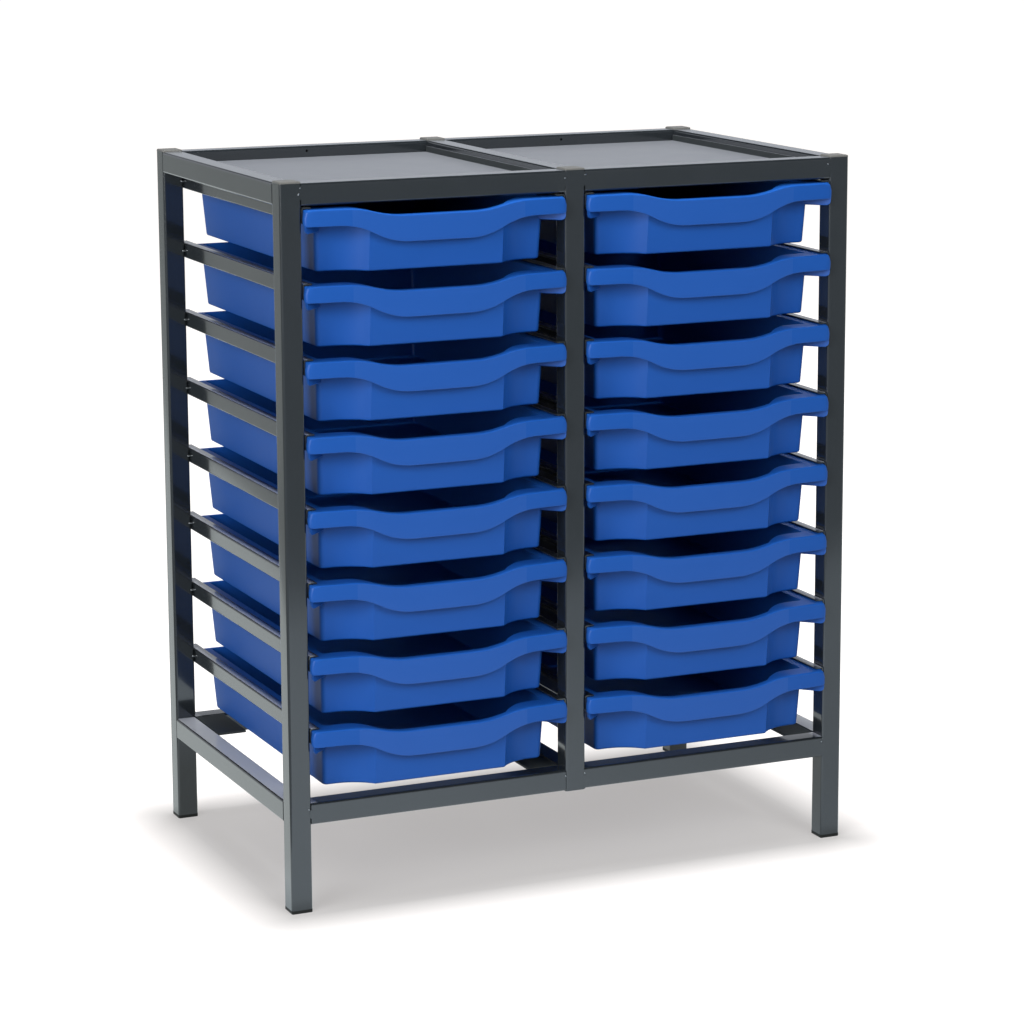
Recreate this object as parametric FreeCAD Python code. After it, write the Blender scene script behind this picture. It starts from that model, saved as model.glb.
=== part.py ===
import FreeCAD, Part
import math
import os

# Classroom tray storage unit: a welded frame of square steel tube that holds two columns of
# shallow plastic trays. Each tray hangs by its rim in a pair of C-shaped channels and pulls out
# to the front. Millimetres. X runs to the right, Y to the back and Z up. The origin is on the
# floor, under the middle of the whole unit, tray lips included.

V = FreeCAD.Vector
X_AXIS = V(1, 0, 0)
Y_AXIS = V(0, 1, 0)
Z_AXIS = V(0, 0, 1)

# ---- layout ----------------------------------------------------------------------------------
COLUMNS = ("left", "right")
TRAYS_PER_COLUMN = 8
BAY_WIDTH = 315.0            # clear width between two posts
BOTTOM_RAIL_HEIGHT = 102.5   # floor to the underside of the bottom rails
LOWEST_TRAY_GAP = 12.7       # bottom rails to the lowest tray
TRAY_GAP = 12.0              # one tray's floor to the rim of the tray below
BACK_MARGIN = 18.5           # back of a tray's rim to the back of the frame

# ---- square tube -----------------------------------------------------------------------------
TUBE = 25.0
TUBE_WALL = 1.5
TUBE_CORNER_RADIUS = 2.2
POST_DROP = 0.8              # a middle post ends this far below the bottom rails

# ---- runners ---------------------------------------------------------------------------------
RUNNER_SHEET = 1.5
RUNNER_WIDTH = 11.0          # over the channel's back and its flange
RUNNER_BEND_RADIUS = 2.0
RUNNER_TOP_GAP = 1.6         # top rail to the uppermost runner

# ---- top panels ------------------------------------------------------------------------------
PANEL_SHEET = 1.2
PANEL_RECESS = 13.6          # top of the rails to the panel's surface
PANEL_FLANGE = 7.0           # upturn along both sides, above the panel's surface
PANEL_BEND_RADIUS = 2.0

# ---- corner plates, caps and feet ------------------------------------------------------------
PLATE_WIDTH = 36.0
PLATE_LENGTH = 83.0
PLATE_SHEET = 3.0
CAP_HEIGHT = 2.2
CAP_EDGE = 1.0               # slope around the top of a cap
FOOT_HEIGHT = 4.0
FOOT_EDGE = 0.8              # slope around the bottom of a foot
SPIGOT_LENGTH = 12.0
SPIGOT_CLEARANCE = 0.1       # spigot to the tube's inner wall, each side

# ---- tray: shell -----------------------------------------------------------------------------
TRAY_LENGTH = 427.0          # front of the lip to the back of the rim
TRAY_HEIGHT = 71.5
TRAY_WALL = 2.0
BODY_CLEARANCE = 9.0         # runner flange to the tray's side wall, at the top
SIDE_DRAFT = 2.5             # the walls lean in by this much from the top to the floor
FRONT_DRAFT = 7.0
BACK_DRAFT = 14.0
FRONT_CORNER_RADIUS = 6.0
BACK_CORNER_RADIUS = 6.0

# ---- tray: bowed front wall ------------------------------------------------------------------
CORNER_SETBACK = 13.0        # posts' front face to the front wall beside its corners, at the top
BOW_DEPTH = 20.0             # the middle of the front wall stands this far forward
BOW_FLAT_HALF = 80.0         # half the width of its flat middle
BOW_RUN = 17.5               # width of the slope on each side of the flat middle
BOW_RADIUS = 54.0

# ---- tray: rim that runs in the channels -----------------------------------------------------
RIM_SHEET = 2.0
RIM_DEPTH = 14.0             # depth of the rim's downturned edge
RIM_CORNER_RADIUS = 12.0
RIM_BACK_LEDGE = 3.0         # back wall to the back of the rim, at the top
RIM_SIDE_GAP = 0.5           # rim to the channel's back, each side
RIM_SEAT_GAP = 0.3           # rim to the channel's lower flange
RIM_TOP_GAP = 0.7            # rim to the channel's upper flange

# ---- tray: wavy lip --------------------------------------------------------------------------
LIP_REACH = 15.5             # posts' front face to the middle of the lip
LIP_BULGE = 7.5              # the lip's middle stands this far before its ends
LIP_POST_GAP = 0.3           # lip to the posts' front face
LIP_OVERLAP = 0.5            # the lip's ends reach this far over the posts
LIP_SHEET = 2.5
LIP_END_BLOCK = 6.0          # thickness of the closed ends of the lip
LIP_END_SLANT = 3.5          # the lip is this much narrower at the top, each end
LIP_END_TIP = 12.5           # depth at which the lip is widest
LIP_END_TUCK = 2.0           # it draws in again by this much below the tip
LIP_END_DEPTH = 18.5         # height of the lip at its ends
LIP_END_RADIUS = 3.0
LIP_CREST_DROP = 9.5         # dip of the lip's top edge in the middle
LIP_CREST_OUTER = 95.0       # the dip's slope runs between these two distances from the middle
LIP_CREST_INNER = 58.0
LIP_CREST_RADIUS = 135.0
LIP_HEM_DROP = 20.5          # dip of the lip's bottom edge in the middle
LIP_HEM_OUTER = 97.5
LIP_HEM_INNER = 56.0
LIP_HEM_RADIUS = 85.0

# ---- tray: webs under the ends of the lip ----------------------------------------------------
WEB_SHEET = 2.5
WEB_DROP = 8.1               # below the end of the lip
WEB_RUNNER_GAP = 0.5         # runner's underside to the web
WEB_RADIUS = 4.0

# ---- drawing ---------------------------------------------------------------------------------
CHORD_ERROR = 0.3            # largest distance from a round stretch to the chords that stand for it
EPS = 1.0                    # how far a cutter runs past what it cuts

# ---- worked out from the sizes above ---------------------------------------------------------
PITCH = TRAY_HEIGHT + TRAY_GAP
WIDTH = len(COLUMNS) * BAY_WIDTH + (len(COLUMNS) + 1) * TUBE
DEPTH = TRAY_LENGTH - LIP_REACH + BACK_MARGIN
FRONT_Y = (LIP_REACH - DEPTH) / 2
BACK_Y = FRONT_Y + DEPTH
RUNNER_INSIDE = RIM_SEAT_GAP + RIM_DEPTH + RIM_TOP_GAP
RUNNER_HEIGHT = RUNNER_INSIDE + 2 * RUNNER_SHEET
BOTTOM_RAIL_TOP = BOTTOM_RAIL_HEIGHT + TUBE
LOWEST_RIM = BOTTOM_RAIL_TOP + LOWEST_TRAY_GAP + TRAY_HEIGHT
HIGHEST_RIM = LOWEST_RIM + (TRAYS_PER_COLUMN - 1) * PITCH
TOP_RAIL_HEIGHT = HIGHEST_RIM + RIM_TOP_GAP + RUNNER_SHEET + RUNNER_TOP_GAP
HEIGHT = TOP_RAIL_HEIGHT + TUBE
RIM_HALF = BAY_WIDTH / 2 - RUNNER_SHEET - RIM_SIDE_GAP
BODY_HALF = BAY_WIDTH / 2 - RUNNER_WIDTH - BODY_CLEARANCE
RIM_BACK = TRAY_LENGTH - LIP_REACH
LIP_HALF = BAY_WIDTH / 2 + LIP_OVERLAP
LIP_END_Y = LIP_BULGE - LIP_REACH
WEB_TOP = -(RIM_DEPTH + RIM_SEAT_GAP + RUNNER_SHEET + WEB_RUNNER_GAP)


def post_x(index):
    """X of the left face of the post with this index, counted from the left."""
    return index * (BAY_WIDTH + TUBE) - WIDTH / 2


def bay_x(column):
    """X of the middle of a bay."""
    return post_x(column) + TUBE + BAY_WIDTH / 2


def rim_z(row):
    """Height of the rim's top on the tray with this row number, 1 at the top."""
    return HIGHEST_RIM - (row - 1) * PITCH


def box(low, high):
    """Box between two opposite corners."""
    size = high - low
    return Part.makeBox(size.x, size.y, size.z, low)


def rounded(corners):
    """Closed wire through 2-D corners (x, y, radius), each round stretch drawn in chords."""
    points = []
    for index, (x, y, radius) in enumerate(corners):
        here = V(x, y, 0)
        before = (V(*corners[index - 1][:2], 0) - here).normalize()
        after = (V(*corners[(index + 1) % len(corners)][:2], 0) - here).normalize()
        turn = math.pi - before.getAngle(after)
        if radius <= CHORD_ERROR:
            points.append(here)
            continue
        centre = here + (before + after).normalize() * (radius / math.cos(turn / 2))
        start = here + before * (radius * math.tan(turn / 2)) - centre
        side = math.copysign(1, before.cross(after).z)
        chords = math.ceil(turn / (2 * math.acos(1 - CHORD_ERROR / radius)))
        for step in range(chords + 1):
            spoke = FreeCAD.Rotation(Z_AXIS, -side * math.degrees(turn) * step / chords)
            points.append(centre + spoke.multVec(start))
    return Part.makePolygon(points + points[:1])


def rectangle(x_low, y_low, x_high, y_high, radius=0):
    """Closed wire of an upright rectangle with equal corner radii."""
    corners = [(x_low, y_low), (x_high, y_low), (x_high, y_high), (x_low, y_high)]
    return rounded([(x, y, radius) for x, y in corners])


def moved(wire, z):
    """Copy of a plan wire at a height."""
    copy = wire.copy()
    copy.translate(V(0, 0, z))
    return copy


def taper(low, high):
    """Solid with flat walls between two outlines that have the same corners in order."""
    low_points = [vertex.Point for vertex in low.OrderedVertexes]
    high_points = [vertex.Point for vertex in high.OrderedVertexes]
    faces = [Part.Face(low), Part.Face(high)]
    for index, corner in enumerate(low_points):
        ring = [low_points[index - 1], corner, high_points[index], high_points[index - 1]]
        faces.append(Part.Face(Part.makePolygon(ring + ring[:1])))
    return Part.makeSolid(Part.makeShell(faces))


def slab(wire, z_low, z_high):
    """Plan wire extruded between two heights."""
    face = Part.Face(wire)
    face.translate(V(0, 0, z_low))
    return face.extrude(V(0, 0, z_high - z_low))


def along_y(wire, y_low, y_high):
    """Front-view wire, drawn as (x, z), extruded between two depths."""
    face = Part.Face(wire)
    face.rotate(V(0, 0, 0), X_AXIS, 90)
    face.translate(V(0, y_low, 0))
    return face.extrude(V(0, y_high - y_low, 0))


# ---- frame -----------------------------------------------------------------------------------

def tube(length):
    """Square tube standing on the XY plane, its outer corner at the origin."""
    outer = slab(rectangle(0, 0, TUBE, TUBE, TUBE_CORNER_RADIUS), 0, length)
    inside = TUBE - TUBE_WALL
    return outer.cut(box(V(TUBE_WALL, TUBE_WALL, 0), V(inside, inside, length)))


def post(x, y, z_low):
    """Upright tube up to the frame's top."""
    shape = tube(HEIGHT - z_low)
    shape.translate(V(x, y, z_low))
    return shape


def rail_along_x(x, y, z):
    """Tube across one bay, between two posts."""
    shape = tube(BAY_WIDTH)
    shape.rotate(V(0, 0, 0), Y_AXIS, 90)
    shape.translate(V(x, y, z + TUBE))
    return shape


def rail_along_y(x, z):
    """Tube from a front post to the back post behind it."""
    shape = tube(DEPTH - 2 * TUBE)
    shape.rotate(V(0, 0, 0), X_AXIS, -90)
    shape.translate(V(x, FRONT_Y + TUBE, z + TUBE))
    return shape


def posts():
    """The four legs, which reach the feet, and the two middle posts, which end at the rails."""
    nodes = {}
    back = BACK_Y - TUBE
    middle_low = BOTTOM_RAIL_HEIGHT - POST_DROP
    for end, y in (("front", FRONT_Y), ("back", back)):
        nodes["leg_" + end + "_left"] = post(post_x(0), y, FOOT_HEIGHT)
        nodes["leg_" + end + "_right"] = post(post_x(2), y, FOOT_HEIGHT)
        nodes["post_" + end + "_middle"] = post(post_x(1), y, middle_low)
    return nodes


def rails():
    """Seven rails at the top and seven at the bottom."""
    nodes = {}
    back = BACK_Y - TUBE
    for level, z in (("top", TOP_RAIL_HEIGHT), ("bottom", BOTTOM_RAIL_HEIGHT)):
        for column, side in enumerate(COLUMNS):
            x = post_x(column) + TUBE
            nodes[level + "_rail_front_" + side] = rail_along_x(x, FRONT_Y, z)
            nodes[level + "_rail_back_" + side] = rail_along_x(x, back, z)
        for index, place in enumerate(("left_side", "centre", "right_side")):
            nodes[level + "_rail_" + place] = rail_along_y(post_x(index), z)
    return nodes


def runner(side):
    """C-shaped channel at the left (1) or right (-1) of a bay, open towards the bay's middle.

    Its back lies at x = 0 and the tray's rim top at z = 0.
    """
    bottom = -(RIM_DEPTH + RIM_SEAT_GAP + RUNNER_SHEET)
    top = bottom + RUNNER_HEIGHT
    bend = RUNNER_BEND_RADIUS
    corners = [
        (side * RUNNER_WIDTH, bottom, 0),
        (0, bottom, bend),
        (0, top, bend),
        (side * RUNNER_WIDTH, top, 0),
        (side * RUNNER_WIDTH, top - RUNNER_SHEET, 0),
        (side * RUNNER_SHEET, top - RUNNER_SHEET, 0),
        (side * RUNNER_SHEET, bottom + RUNNER_SHEET, 0),
        (side * RUNNER_WIDTH, bottom + RUNNER_SHEET, 0),
    ]
    return along_y(rounded(corners), FRONT_Y, BACK_Y)


def runners():
    """Four sets of runners, one for each side of each bay, lapped on the posts' faces."""
    nodes = {}
    places = (
        ("runners_left_side", post_x(0) + TUBE, 1),
        ("runners_centre_left", post_x(1), -1),
        ("runners_centre_right", post_x(1) + TUBE, 1),
        ("runners_right_side", post_x(2), -1),
    )
    for name, x, side in places:
        channel = runner(side)
        copies = []
        for row in range(1, TRAYS_PER_COLUMN + 1):
            copy = channel.copy()
            copy.translate(V(x, 0, rim_z(row)))
            copies.append(copy)
        nodes[name] = Part.makeCompound(copies)
    return nodes


def top_panel(column):
    """Sheet folded up along both sides, set down between the top rails."""
    half = BAY_WIDTH / 2
    sheet = PANEL_SHEET
    bend = PANEL_BEND_RADIUS
    corners = [
        (-half, -sheet, bend),
        (half, -sheet, bend),
        (half, PANEL_FLANGE, 0),
        (half - sheet, PANEL_FLANGE, 0),
        (half - sheet, 0, bend - sheet),
        (sheet - half, 0, bend - sheet),
        (sheet - half, PANEL_FLANGE, 0),
        (-half, PANEL_FLANGE, 0),
    ]
    panel = along_y(rounded(corners), FRONT_Y + TUBE, BACK_Y - TUBE)
    panel.translate(V(bay_x(column), 0, HEIGHT - PANEL_RECESS))
    return panel


def corner_plates():
    """Flat plates in the back left and front right corners of each bay, level with the rails."""
    plates = []
    low = BOTTOM_RAIL_TOP - PLATE_SHEET
    for column in range(len(COLUMNS)):
        left = post_x(column) + TUBE
        right = left + BAY_WIDTH
        front = FRONT_Y + TUBE
        back = BACK_Y - TUBE
        plates.append(box(V(left, back - PLATE_LENGTH, low), V(left + PLATE_WIDTH, back, BOTTOM_RAIL_TOP)))
        plates.append(box(V(right - PLATE_WIDTH, front, low), V(right, front + PLATE_LENGTH, BOTTOM_RAIL_TOP)))
    return Part.makeCompound(plates)


def plug(height, slope):
    """Tube plug standing on its spigot: the head's underside is at z = 0 and its edge slopes."""
    radius = TUBE_CORNER_RADIUS
    skirt = slab(rectangle(0, 0, TUBE, TUBE, radius), 0, height - slope)
    edge = moved(rectangle(0, 0, TUBE, TUBE, radius), height - slope)
    top = moved(rectangle(slope, slope, TUBE - slope, TUBE - slope, radius), height)
    crown = taper(edge, top)
    inset = TUBE_WALL + SPIGOT_CLEARANCE
    spigot = slab(rectangle(inset, inset, TUBE - inset, TUBE - inset), -SPIGOT_LENGTH, 0)
    return skirt.fuse(crown).fuse(spigot).removeSplitter()


def caps():
    """Plugs in the tops of all six posts."""
    shapes = []
    for index in range(len(COLUMNS) + 1):
        for y in (FRONT_Y, BACK_Y - TUBE):
            cap = plug(CAP_HEIGHT, CAP_EDGE)
            cap.translate(V(post_x(index), y, HEIGHT))
            shapes.append(cap)
    return Part.makeCompound(shapes)


def feet():
    """Plugs in the bottoms of the four legs, which stand on them."""
    shapes = []
    for x in (post_x(0), post_x(len(COLUMNS))):
        for y in (FRONT_Y, BACK_Y - TUBE):
            foot = plug(FOOT_HEIGHT, FOOT_EDGE)
            foot.rotate(V(TUBE / 2, TUBE / 2, 0), X_AXIS, 180)
            foot.translate(V(x, y, FOOT_HEIGHT))
            shapes.append(foot)
    return Part.makeCompound(shapes)


# ---- tray ------------------------------------------------------------------------------------
# Drawn with x = 0 in the middle of its bay, y = 0 at the posts' front face and z = 0 at the top
# of the rim.

def body_wire(z, inset):
    """Plan of the tray's walls at a height, moved inwards by an inset."""
    lean = -z / TRAY_HEIGHT
    half = BODY_HALF - SIDE_DRAFT * lean - inset
    corner_y = CORNER_SETBACK + FRONT_DRAFT * lean + inset
    flat_y = corner_y - BOW_DEPTH
    back_y = RIM_BACK - RIM_BACK_LEDGE - BACK_DRAFT * lean - inset
    shift = inset * math.tan(math.atan2(BOW_DEPTH, BOW_RUN) / 2)
    flat = BOW_FLAT_HALF - shift
    bow = BOW_FLAT_HALF + BOW_RUN - shift
    front = FRONT_CORNER_RADIUS - inset
    back = BACK_CORNER_RADIUS - inset
    wire = rounded([
        (-half, corner_y, front),
        (-bow, corner_y, BOW_RADIUS + inset),
        (-flat, flat_y, 0),
        (flat, flat_y, 0),
        (bow, corner_y, BOW_RADIUS + inset),
        (half, corner_y, front),
        (half, back_y, back),
        (-half, back_y, back),
    ])
    return moved(wire, z)


def body(z_low, z_high, inset):
    """Tapered block inside the tray's walls."""
    return taper(body_wire(z_low, inset), body_wire(z_high, inset))


def wave(half, drop, outer, inner, radius, level):
    """Points (x, z, radius) from left to right of an edge that dips in the middle."""
    return [
        (-half, level, 0),
        (-outer, level, radius),
        (-inner, level - drop, radius),
        (inner, level - drop, radius),
        (outer, level, radius),
        (half, level, 0),
    ]


def crest(half, level):
    """The lip's wavy top edge, shifted to a level."""
    return wave(half, LIP_CREST_DROP, LIP_CREST_OUTER, LIP_CREST_INNER, LIP_CREST_RADIUS, level)


def rim():
    """Flat ledge around the sides and back with a downturned edge, before the tray is hollowed."""
    front = -LIP_POST_GAP

    def plan(inset):
        half = RIM_HALF - inset
        back = RIM_BACK - inset
        radius = RIM_CORNER_RADIUS - inset
        return rounded([(-half, front, 0), (half, front, 0), (half, back, radius), (-half, back, radius)])

    block = slab(plan(0), -RIM_DEPTH, 0)
    return block.cut(slab(plan(RIM_SHEET), -RIM_DEPTH, -RIM_SHEET))


def bulge(half, inset):
    """Plan points from left to right of the lip's bulging front, moved back by an inset."""
    radius = (LIP_HALF ** 2 + LIP_BULGE ** 2) / (2 * LIP_BULGE)
    centre_y = radius - LIP_REACH
    reach = radius - inset
    turn = 2 * math.asin(half / reach)
    chords = math.ceil(turn / (2 * math.acos(1 - CHORD_ERROR / reach)))
    angles = [turn * (step / chords - 0.5) for step in range(chords + 1)]
    return [(reach * math.sin(angle), centre_y - reach * math.cos(angle), 0) for angle in angles]


def band(half, inset):
    """Plan of the space between the lip's front, moved back by an inset, and the posts."""
    stop = -LIP_POST_GAP
    return rounded(bulge(half, inset) + [(half, stop, 0), (-half, stop, 0)])


def lip_profile():
    """Front view of the lip: wavy top and bottom edges and slanted ends."""
    top_half = LIP_HALF - LIP_END_SLANT
    foot_half = LIP_HALF - LIP_END_TUCK
    hem = wave(foot_half, LIP_HEM_DROP, LIP_HEM_OUTER, LIP_HEM_INNER, LIP_HEM_RADIUS, -LIP_END_DEPTH)
    top = crest(top_half, 0)
    top[0] = top[0][:2] + (LIP_END_RADIUS,)
    top[-1] = top[-1][:2] + (LIP_END_RADIUS,)
    hem[0] = hem[0][:2] + (LIP_END_RADIUS,)
    hem[-1] = hem[-1][:2] + (LIP_END_RADIUS,)
    right_tip = (LIP_HALF, -LIP_END_TIP, LIP_END_RADIUS)
    left_tip = (-LIP_HALF, -LIP_END_TIP, LIP_END_RADIUS)
    return rounded(top + [right_tip] + hem[::-1] + [left_tip])


def lip():
    """Wavy skirt along the front, closed at its ends by blocks that stop against the posts."""
    low = -LIP_END_DEPTH - LIP_HEM_DROP - EPS
    inner_half = LIP_HALF - LIP_END_BLOCK
    skirt = slab(band(LIP_HALF, 0), low, EPS).cut(slab(band(inner_half, LIP_SHEET), low, EPS))
    return skirt.common(along_y(lip_profile(), -LIP_REACH - EPS, 0))


def shelf():
    """Wavy ledge from the lip back to the front wall."""
    half = LIP_HALF - LIP_END_SLANT
    back = CORNER_SETBACK + FRONT_CORNER_RADIUS
    low = -LIP_CREST_DROP - RIM_SHEET - EPS
    ledge = rounded(crest(half, 0) + crest(half, -RIM_SHEET)[::-1])
    front = slab(band(LIP_HALF, 0), low, EPS)
    behind = box(V(-BODY_HALF, -LIP_POST_GAP, low), V(BODY_HALF, back, EPS))
    return along_y(ledge, -LIP_REACH - EPS, back + EPS).common(front.fuse(behind))


def web(side):
    """Thin web that runs back at an angle from under one end of the lip to the body's corner."""
    start = V(LIP_HALF - WEB_SHEET, LIP_END_Y + WEB_SHEET / 2, 0)
    end = V(BODY_HALF - FRONT_CORNER_RADIUS, CORNER_SETBACK + FRONT_CORNER_RADIUS, 0)
    run = end - start
    low = -LIP_END_DEPTH - WEB_DROP
    outline = rounded([
        (0, WEB_TOP, 0),
        (run.Length, WEB_TOP, 0),
        (run.Length, low, 0),
        (0, low, WEB_RADIUS),
    ])
    strip = along_y(outline, -WEB_SHEET / 2, WEB_SHEET / 2)
    strip.rotate(V(0, 0, 0), Z_AXIS, math.degrees(math.atan2(run.y, run.x)))
    strip.translate(start)
    if side < 0:
        strip = strip.mirror(V(0, 0, 0), X_AXIS)
    return strip


def above_crest():
    """Everything over the dip in the front wall and the lip."""
    dip = crest(LIP_CREST_OUTER + LIP_CREST_RADIUS, 0)[1:-1]
    cap = [(BODY_HALF - FRONT_CORNER_RADIUS, 0, 0), (BODY_HALF - FRONT_CORNER_RADIUS, EPS, 0)]
    back = [(-x, z, radius) for x, z, radius in cap[::-1]]
    depth = CORNER_SETBACK + FRONT_CORNER_RADIUS
    return along_y(rounded(dip + cap + back), -LIP_REACH - EPS, depth)


def tray():
    """One moulded tray."""
    solid = body(-TRAY_HEIGHT, 0, 0)
    for piece in (rim(), shelf(), lip(), web(1), web(-1)):
        solid = solid.fuse(piece)
    hollow = body(TRAY_WALL - TRAY_HEIGHT, EPS, TRAY_WALL)
    return solid.cut(hollow).cut(above_crest()).removeSplitter()


def trays():
    """One tray for each pair of runners."""
    nodes = {}
    pattern = tray()
    for column, side in enumerate(COLUMNS):
        for row in range(1, TRAYS_PER_COLUMN + 1):
            copy = pattern.copy()
            copy.translate(V(bay_x(column), FRONT_Y, rim_z(row)))
            nodes["tray_" + side + "_" + str(row)] = copy
    return nodes


def build():
    """All nodes of the unit, by name."""
    nodes = {}
    nodes.update(posts())
    nodes.update(rails())
    nodes.update(runners())
    for column, side in enumerate(COLUMNS):
        nodes["top_panel_" + side] = top_panel(column)
    nodes["corner_plates"] = corner_plates()
    nodes["post_caps"] = caps()
    nodes["leg_feet"] = feet()
    nodes.update(trays())
    return nodes


os.makedirs("parts", exist_ok=True)
for name, shape in build().items():
    shape.exportStep("parts/" + name + ".step")
    print(name, len(shape.Solids), shape.isValid(), round(shape.Volume))
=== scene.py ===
import logging
import math
from dataclasses import dataclass
from enum import Enum

import bmesh
import bpy
from mathutils import Matrix, Vector


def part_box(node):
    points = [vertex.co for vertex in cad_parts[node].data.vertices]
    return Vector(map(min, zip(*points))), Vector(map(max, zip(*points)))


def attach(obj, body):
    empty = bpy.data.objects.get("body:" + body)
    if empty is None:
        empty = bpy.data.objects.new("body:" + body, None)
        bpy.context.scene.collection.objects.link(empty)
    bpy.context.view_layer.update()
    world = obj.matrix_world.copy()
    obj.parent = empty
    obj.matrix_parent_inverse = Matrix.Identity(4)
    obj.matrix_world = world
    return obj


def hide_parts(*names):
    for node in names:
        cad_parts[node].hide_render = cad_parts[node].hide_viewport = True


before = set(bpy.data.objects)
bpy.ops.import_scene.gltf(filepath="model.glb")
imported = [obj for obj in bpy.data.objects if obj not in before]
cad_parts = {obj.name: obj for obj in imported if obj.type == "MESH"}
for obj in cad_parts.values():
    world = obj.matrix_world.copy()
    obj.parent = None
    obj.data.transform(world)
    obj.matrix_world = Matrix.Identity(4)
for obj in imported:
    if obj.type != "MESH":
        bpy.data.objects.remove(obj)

LOG = logging.getLogger("tray_unit")
MM = 0.001
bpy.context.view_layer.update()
FRAME_BODY = "frame"
COLUMNS = ("left", "right")
TRAYS_PER_COLUMN = 8
TRAY_PITCH = 83.5 * MM
# each set of runners, with the side that its channels open to: 1 for +X, -1 for -X
RUNNER_SETS = (("runners_left_side", 1), ("runners_centre_left", -1),
               ("runners_centre_right", 1), ("runners_right_side", -1))
PARALLEL = 0.999  # a unit vector whose part along an axis is larger counts as parallel to it
CRISP_TURN = 42.0  # degrees; edges that turn by more keep a crisp shading
NEAR = 0.1 * MM  # points closer than this to a line or a level lie on it
# how far a quarter round lies inside its corner after a quarter, a half and three quarters of its turn,
# as shares of its radius
ROUND_EARLY, ROUND_MIDDLE, ROUND_LATE = 0.076, 0.293, 0.617


class Axis(Enum):
    """One of the three directions of the unit."""

    X = 0
    Y = 1
    Z = 2

    def vector(self, length: float = 1.0) -> Vector:
        """Makes a vector along this axis.

        Args:
            length: its length; a negative one points the other way.

        Returns:
            The vector.
        """
        parts = [0.0, 0.0, 0.0]
        parts[self.value] = length
        return Vector(parts)


class Slot(Enum):
    """Material slots of the record."""

    FRAME = "frame_coating"
    PANEL = "panel_coating"
    CAP = "cap_plastic"
    FOOT = "foot_plastic"
    TRAY = "tray_plastic"


# ---- colours and shader nodes ----------------------------------------------------------------

def linear(hex_colour: str) -> tuple[float, float, float, float]:
    """Turns an sRGB hex colour into a linear one.

    Args:
        hex_colour: colour such as "#305BAA".

    Returns:
        Linear red, green, blue and an alpha of 1.
    """
    channels = [int(hex_colour[i:i + 2], 16) / 255 for i in (1, 3, 5)]
    red, green, blue = [c / 12.92 if c <= 0.04045 else ((c + 0.055) / 1.055) ** 2.4 for c in channels]
    return red, green, blue, 1.0


def add_node(tree: bpy.types.NodeTree, kind: str, settings: dict | None = None,
             links: dict | None = None) -> bpy.types.Node:
    """Adds a shader node with its settings and incoming links.

    Args:
        tree: node tree that gets the node.
        kind: node type, such as "ShaderNodeBump".
        settings: attribute names, or socket names or indices, to their values.
        links: socket names or indices to the output sockets that feed them.

    Returns:
        The new node.
    """
    node = tree.nodes.new(kind)
    for name, value in (settings or {}).items():
        if isinstance(name, str) and name in node.bl_rna.properties:
            setattr(node, name, value)
        else:
            node.inputs[name].default_value = value
    for name, output in (links or {}).items():
        tree.links.new(output, node.inputs[name])
    return node


def new_material(name: str) -> tuple[bpy.types.Material, bpy.types.NodeTree, bpy.types.Node]:
    """Makes an empty node material.

    Args:
        name: name of the material.

    Returns:
        The material, its node tree and its output node.
    """
    material = bpy.data.materials.new(name)
    material.use_nodes = True
    tree = material.node_tree
    tree.nodes.clear()
    return material, tree, add_node(tree, "ShaderNodeOutputMaterial")


def waves_per_metre(size: float) -> float:
    """Noise scale whose blotches are about one size across."""
    return 1.0 / size


@dataclass(frozen=True)
class Change:
    """Even change of a level while a value runs from a start to an end, flat before and after."""

    start: float = 0.0
    end: float = 1.0
    first: float = 0.0
    last: float = 1.0

    def settings(self) -> dict[str, float]:
        """Settings of the Map Range node that makes the change."""
        return {"From Min": self.start, "From Max": self.end, "To Min": self.first, "To Max": self.last}


# ---- finishes --------------------------------------------------------------------------------

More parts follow.
